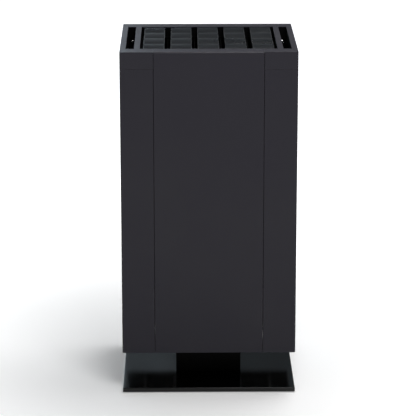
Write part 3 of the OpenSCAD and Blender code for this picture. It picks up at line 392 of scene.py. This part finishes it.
def add_dial_scale():
    """Ticks and the numbers 0 to 5 round the speed knob, on the back wall of the control recess."""
    centre = Vector(joint("knob_turn")["pos_m"])
    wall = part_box("control_recess")[0][1] + RECESS_WALL
    radius = (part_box("speed_knob")[1][0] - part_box("speed_knob")[0][0]) / 2
    ticks = ([], [])
    for k in range(DIAL_STEPS * TICKS_PER_STEP + 1):
        major = k % TICKS_PER_STEP == 0
        half = (MAJOR_TICK_WIDTH if major else MINOR_TICK_WIDTH) / 2
        end = radius + (MAJOR_TICK_TO if major else MINOR_TICK_TO)
        angle = DIAL_SWEEP * (k / (DIAL_STEPS * TICKS_PER_STEP) - 0.5)
        tick = ([], [])
        bar(tick, (-half, 0, radius + TICK_FROM), (half, TICK_HEIGHT, end))
        spin = Matrix.Translation((centre.x, wall, centre.z)) @ Matrix.Rotation(-angle, 4, "Y")
        join(ticks, *turned(tick, spin))
    add_piece("dial_ticks", ticks, MARKING, "casing")
    for k in range(DIAL_STEPS + 1):
        angle = DIAL_SWEEP * (k / DIAL_STEPS - 0.5)
        text = bpy.data.curves.new(f"dial_number_{k}", "FONT")
        text.body = str(k)
        text.size = NUMBER_SIZE
        text.extrude = NUMBER_HEIGHT
        text.align_x = "CENTER"
        text.align_y = "CENTER"
        text.materials.append(MARKING)
        number = bpy.data.objects.new(f"dial_number_{k}", text)
        reach = radius + NUMBER_REACH
        number.location = (centre.x - reach * math.sin(angle), wall + NUMBER_HEIGHT,
                           centre.z + reach * math.cos(angle))
        number.rotation_euler = (math.pi / 2, 0, math.pi)
        bpy.context.scene.collection.objects.link(number)
        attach(number, "casing")


def add_knob_pointer():
    """The painted line on the speed knob's face, which points at 0 when the knob is at rest."""
    centre = Vector(joint("knob_turn")["pos_m"])
    low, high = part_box("speed_knob")
    width = high[0] - low[0]
    line = ([], [])
    bar(line, (-POINTER_WIDTH / 2, 0, width * POINTER_FROM),
        (POINTER_WIDTH / 2, POINTER_HEIGHT, width * POINTER_TO))
    place = Matrix.Translation((centre.x, high[1], centre.z))
    spin = place @ Matrix.Rotation(DIAL_SWEEP / 2, 4, "Y")
    add_piece("knob_pointer", turned(line, spin), MARKING, "speed_knob")


def add_rocker_marks():
    """I and O on the two halves of the power rocker."""
    tilt = math.radians(joint("rocker_tilt")["range_deg"][1] / 2)
    rocker = Matrix.Translation(Vector(joint("rocker_tilt")["pos_m"]))
    rocker = rocker @ Matrix.Rotation(-tilt, 4, "X")
    face = ROCKER_FACE - MARK_REACH * math.tan(tilt)
    stroke = ([], [])
    bar(stroke, (-STROKE_HALF_WIDTH, -MARK_SUNK, -MARK_HALF),
        (STROKE_HALF_WIDTH, MARK_HEIGHT, MARK_HALF))
    up = Matrix.Translation((0, face, MARK_REACH)) @ Matrix.Rotation(tilt, 4, "X")
    add_piece("rocker_on", turned(stroke, rocker @ up), MARKING, "power_rocker")
    ring = ring_shape(RING_INNER, MARK_HALF, MARK_HEIGHT)
    down = Matrix.Translation((0, face, -MARK_REACH)) @ Matrix.Rotation(-tilt, 4, "X")
    down = down @ Matrix.Rotation(-math.pi / 2, 4, "X")
    add_piece("rocker_off", turned(ring, rocker @ down), MARKING, "power_rocker")


def add_screen_net(side, direction):
    """The fine moulded net of one washable screen, between its ribs."""
    low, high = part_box(f"{side}_screen")
    inner = low[0] if direction > 0 else high[0]
    x0, x1 = sorted((inner + direction * SCREEN_RIM,
                     inner + direction * (SCREEN_RIM + INTAKE_WIDTH)))
    y0, y1 = low[1] + SCREEN_RIM, high[1] - SCREEN_RIM
    z = high[2] - SCREEN_NET_DEPTH
    half = NET_STRAND / 2
    shape = ([], [])
    columns = round((x1 - x0) / NET_PITCH)
    rows = round((y1 - y0) / NET_PITCH)
    for k in range(1, columns):
        x = x0 + k * (x1 - x0) / columns
        bar(shape, (x - half, y0 - NET_ANCHOR, z - half), (x + half, y1 + NET_ANCHOR, z + half))
    for k in range(1, rows):
        y = y0 + k * (y1 - y0) / rows
        bar(shape, (x0 - NET_ANCHOR, y - half, z), (x1 + NET_ANCHOR, y + half, z + 2 * half))
    add_piece(f"{side}_screen_net", shape, MATERIALS["screen_plastic"], f"{side}_screen")


def add_seam_seal():
    """A foam strip inside the case, behind the seam between the crown and the rear panel."""
    half = -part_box("chassis_left")[1][0] - SEAL_END_GAP
    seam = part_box("rear_panel")[1][2]
    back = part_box("rear_panel")[0][1] - SEAL_SETBACK
    shape = ([], [])
    bar(shape, (-half, back - SEAL_DEPTH, seam - SEAL_HEIGHT / 2),
        (half, back, seam + SEAL_HEIGHT / 2))
    seal = add_piece("rear_seam_seal", shape, MATERIALS["gasket_foam"], "casing")
    bevel = seal.modifiers.new("bevel", "BEVEL")
    bevel.width = SEAL_DEPTH / 3
    bevel.segments = EDGE_SEGMENTS


def add_pocket_screw_crowns():
    """The domed crowns, with a cross recess, on the screws in the hand slots."""
    low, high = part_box("pocket_screws")
    radius = (high[2] - low[2]) / 2
    for side, x in (("left", low[0] + radius), ("right", high[0] - radius)):
        points, faces = [], []
        for i in range(DOME_RINGS + 1):
            r = radius * i / DOME_RINGS
            for k in range(DOME_STEPS):
                a = 2 * math.pi * k / DOME_STEPS
                px, pz = r * math.cos(a), r * math.sin(a)
                rise = DOME_RISE * (1 - (r / radius) ** 2)
                if min(abs(px), abs(pz)) < CROSS_HALF_WIDTH and r < CROSS_REACH * radius:
                    rise -= CROSS_DEPTH
                points.append((x + px, low[1] + DOME_SUNK - rise, low[2] + radius + pz))
        for here in range(0, DOME_RINGS * DOME_STEPS, DOME_STEPS):
            there = here + DOME_STEPS
            for k in range(DOME_STEPS):
                m = (k + 1) % DOME_STEPS
                faces.append((here + k, here + m, there + m, there + k))
        add_piece(f"{side}_screw_crown", (points, faces), MATERIALS["screw_steel"], "casing")


# ---------------------------------------------------------------- floor, light and camera

def add_camera():
    """The camera, in front of the object and above its top."""
    data = bpy.data.cameras.new("camera")
    data.sensor_width = SENSOR
    data.lens = LENS
    camera = bpy.data.objects.new("camera", data)
    camera.location = (-VIEW_LEFT, cad_low[1] - VIEW_DISTANCE, cad_high[2] + VIEW_ABOVE_TOP)
    camera.rotation_euler = (math.pi / 2 - VIEW_PITCH, 0, -VIEW_TURN)
    bpy.context.scene.collection.objects.link(camera)
    bpy.context.scene.camera = camera


def add_floor():
    """A white floor. Its shadow fades into pure white with the distance from the object."""
    half = FLOOR_HALF
    corners = [(-half, -half, 0), (half, -half, 0), (half, half, 0), (-half, half, 0)]
    mesh = bpy.data.meshes.new("floor")
    mesh.from_pydata(corners, [], [(0, 1, 2, 3)])
    floor = bpy.data.objects.new("floor", mesh)
    bpy.context.scene.collection.objects.link(floor)
    material, tree, shader = new_material("floor_white")
    shader.inputs["Roughness"].default_value = 0.9
    shader.inputs["Specular IOR Level"].default_value = 0.0
    shader.inputs["Emission Color"].default_value = (1, 1, 1, 1)
    path = tree.nodes.new("ShaderNodeLightPath")
    watched = path.outputs["Is Camera Ray"]
    for kind in ("Is Glossy Ray", "Is Transmission Ray"):
        watched = maths(tree, "MAXIMUM", watched, path.outputs[kind])
    tone = tree.nodes.new("ShaderNodeMix")
    tone.data_type = "RGBA"
    tone.inputs["A"].default_value = (FLOOR_BOUNCE, FLOOR_BOUNCE, FLOOR_BOUNCE, 1)
    tone.inputs["B"].default_value = (FLOOR_WHITE, FLOOR_WHITE, FLOOR_WHITE, 1)
    tree.links.new(watched, tone.inputs["Factor"])
    tree.links.new(tone.outputs["Result"], shader.inputs["Base Color"])
    place = tree.nodes.new("ShaderNodeTexCoord")
    reach = tree.nodes.new("ShaderNodeVectorMath")
    reach.operation = "LENGTH"
    tree.links.new(place.outputs["Object"], reach.inputs[0])
    fade = tree.nodes.new("ShaderNodeMapRange")
    fade.interpolation_type = "SMOOTHSTEP"
    fade.inputs["From Min"].default_value = FADE_FROM
    fade.inputs["From Max"].default_value = FADE_TO
    fade.inputs["To Min"].default_value = FLOOR_LIFT
    fade.inputs["To Max"].default_value = 1.0
    tree.links.new(reach.outputs["Value"], fade.inputs["Value"])
    glow = maths(tree, "MULTIPLY", watched, fade.outputs["Result"])
    tree.links.new(glow, shader.inputs["Emission Strength"])
    mesh.materials.append(material)


def add_world():
    """A dim sky that the camera sees as white, and reflections as white near the horizon."""
    world = bpy.data.worlds.new("studio")
    bpy.context.scene.world = world
    world.use_nodes = True
    tree = world.node_tree
    sky = tree.nodes["Background"]
    sky.inputs["Color"].default_value = (1, 1, 1, 1)
    sky.inputs["Strength"].default_value = SKY_LEVEL
    white = tree.nodes.new("ShaderNodeBackground")
    white.inputs["Color"].default_value = (1, 1, 1, 1)
    white.inputs["Strength"].default_value = 1.0
    path = tree.nodes.new("ShaderNodeLightPath")
    place = tree.nodes.new("ShaderNodeTexCoord")
    split = tree.nodes.new("ShaderNodeSeparateXYZ")
    tree.links.new(place.outputs["Generated"], split.inputs["Vector"])
    sweep = tree.nodes.new("ShaderNodeMapRange")
    sweep.interpolation_type = "SMOOTHSTEP"
    sweep.inputs["From Min"].default_value = math.sin(SWEEP_FULL)
    sweep.inputs["From Max"].default_value = math.sin(SWEEP_END)
    sweep.inputs["To Min"].default_value = 1.0
    sweep.inputs["To Max"].default_value = 0.0
    tree.links.new(split.outputs["Z"], sweep.inputs["Value"])
    mirrored = maths(tree, "MAXIMUM", path.outputs["Is Glossy Ray"],
                     path.outputs["Is Transmission Ray"])
    mirrored = maths(tree, "MULTIPLY", mirrored, sweep.outputs["Result"])
    mix = tree.nodes.new("ShaderNodeMixShader")
    seen = maths(tree, "MAXIMUM", path.outputs["Is Camera Ray"], mirrored)
    tree.links.new(seen, mix.inputs["Fac"])
    tree.links.new(sky.outputs["Background"], mix.inputs[1])
    tree.links.new(white.outputs["Background"], mix.inputs[2])
    tree.links.new(mix.outputs["Shader"], tree.nodes["World Output"].inputs["Surface"])


NEUTRAL = (1.0, 1.0, 1.0)
COOL = (0.75, 0.89, 1.0)
# Place, aim, width and height, power in watts and tint of each soft box
LAMPS = {
    "overhead": ((0.3, 0.2, 3.4), (0, 0, 0.3), (2.4, 2.4), 38, NEUTRAL),
    "overhead_rear": ((0.8, 0.8, 3.4), (0, 0, 0.3), (2, 2), 50, NEUTRAL),
    "left_rear": ((-1.6, 4.2, 1.6), (0, 0, 0.6), (2.4, 1.6), 41, COOL),
    "far_right": ((1.6, 12, 4.7), (0, 0, 0.1), (4, 1.2), 2.1, COOL),
    "far_left": ((-1.6, 12, 4.7), (0, 0, 0.1), (3, 1.4), 2.5, COOL),
    "left_front": ((-2.2, -2.2, 2.6), (0, 0, 0.3), (1.6, 1.6), 4, NEUTRAL),
    "front": ((0.4, -1.5, 2.1), (0, -0.17, 0.7), (0.8, 0.8), 24, NEUTRAL),
}


def add_lamp(name, place, aim, size, power, tint):
    """A soft box at a place, turned to face another."""
    data = bpy.data.lights.new(name, "AREA")
    data.color = tint
    data.shape = "RECTANGLE"
    data.size, data.size_y = size
    data.energy = power
    lamp = bpy.data.objects.new(name, data)
    lamp.location = place
    lamp.rotation_euler = (Vector(aim) - Vector(place)).to_track_quat("-Z", "Y").to_euler()
    bpy.context.scene.collection.objects.link(lamp)


bpy.context.scene.view_settings.view_transform = "Standard"
dress_nodes()
add_camera()
add_floor()
add_world()
for name, (place, aim, size, power, tint) in LAMPS.items():
    add_lamp(name, place, aim, size, power, tint)

for node in ("left_shell", "right_shell", "front_panel", "crown", "base_plate"):
    soften(node)

add_dial_scale()
add_knob_pointer()
add_rocker_marks()
add_screen_net("left", -1)
add_screen_net("right", 1)
add_pocket_screw_crowns()
add_seam_seal()
